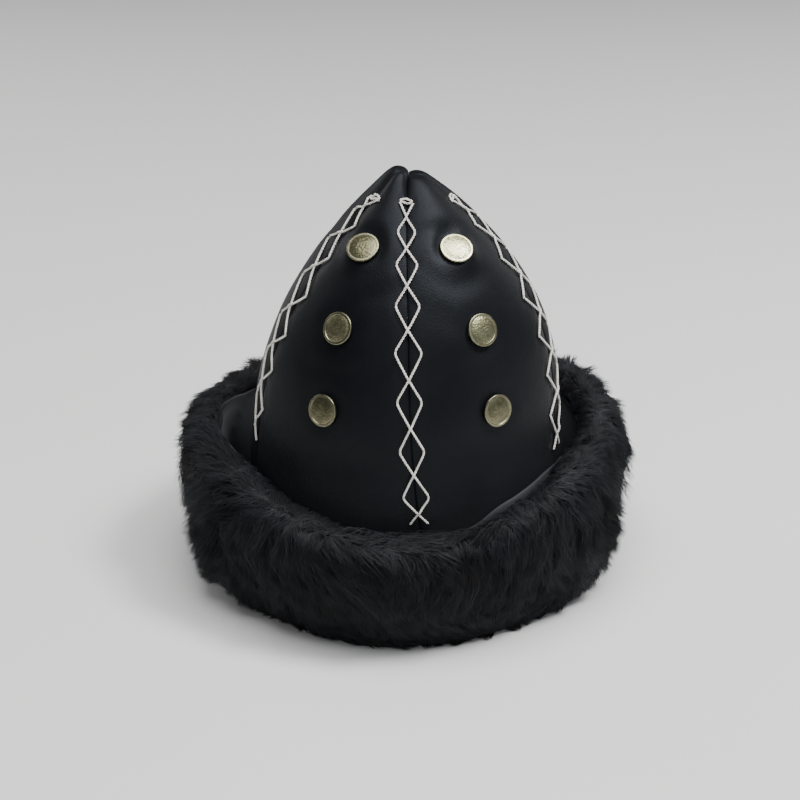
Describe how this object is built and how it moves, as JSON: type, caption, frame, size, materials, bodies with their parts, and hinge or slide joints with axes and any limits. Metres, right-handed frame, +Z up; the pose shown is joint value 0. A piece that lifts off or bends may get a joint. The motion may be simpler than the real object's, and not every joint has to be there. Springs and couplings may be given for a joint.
{
  "type": "fur hat",
  "caption": "Pointed hat of black leather gores with brass studs and a turned-up black fur cuff, hollow below for the head, standing on its cuff.",
  "frame": {"origin": "middle of the hat's bounds on the surface that it stands on", "axes": "+Z up to the tip of the crown, -Y to the front, where the lowest part of the cuff's rim is, +X to the right as seen from the front"},
  "size_m": [0.2817, 0.2707, 0.2428],
  "materials": {
    "leather_black": "smooth black leather with a soft sheen",
    "leather_facing": "dull dark grey leather",
    "fur_black": "deep black fur",
    "brass": "aged brass",
    "lacing_thread": "waxed off-white thread"
  },
  "bodies": {
    "root": {"gore_front_left": "leather_black", "gore_front_right": "leather_black", "gore_back_right": "leather_black", "gore_back_left": "leather_black", "cuff_facing": "leather_facing", "fur_cuff": "fur_black", "stud_front_left_low": "brass", "stud_front_left_middle": "brass", "stud_front_left_high": "brass", "stud_front_right_low": "brass", "stud_front_right_middle": "brass", "stud_front_right_high": "brass", "stud_back_right_low": "brass", "stud_back_right_middle": "brass", "stud_back_right_high": "brass", "stud_back_left_low": "brass", "stud_back_left_middle": "brass", "stud_back_left_high": "brass"}
  },
  "joints": []
}
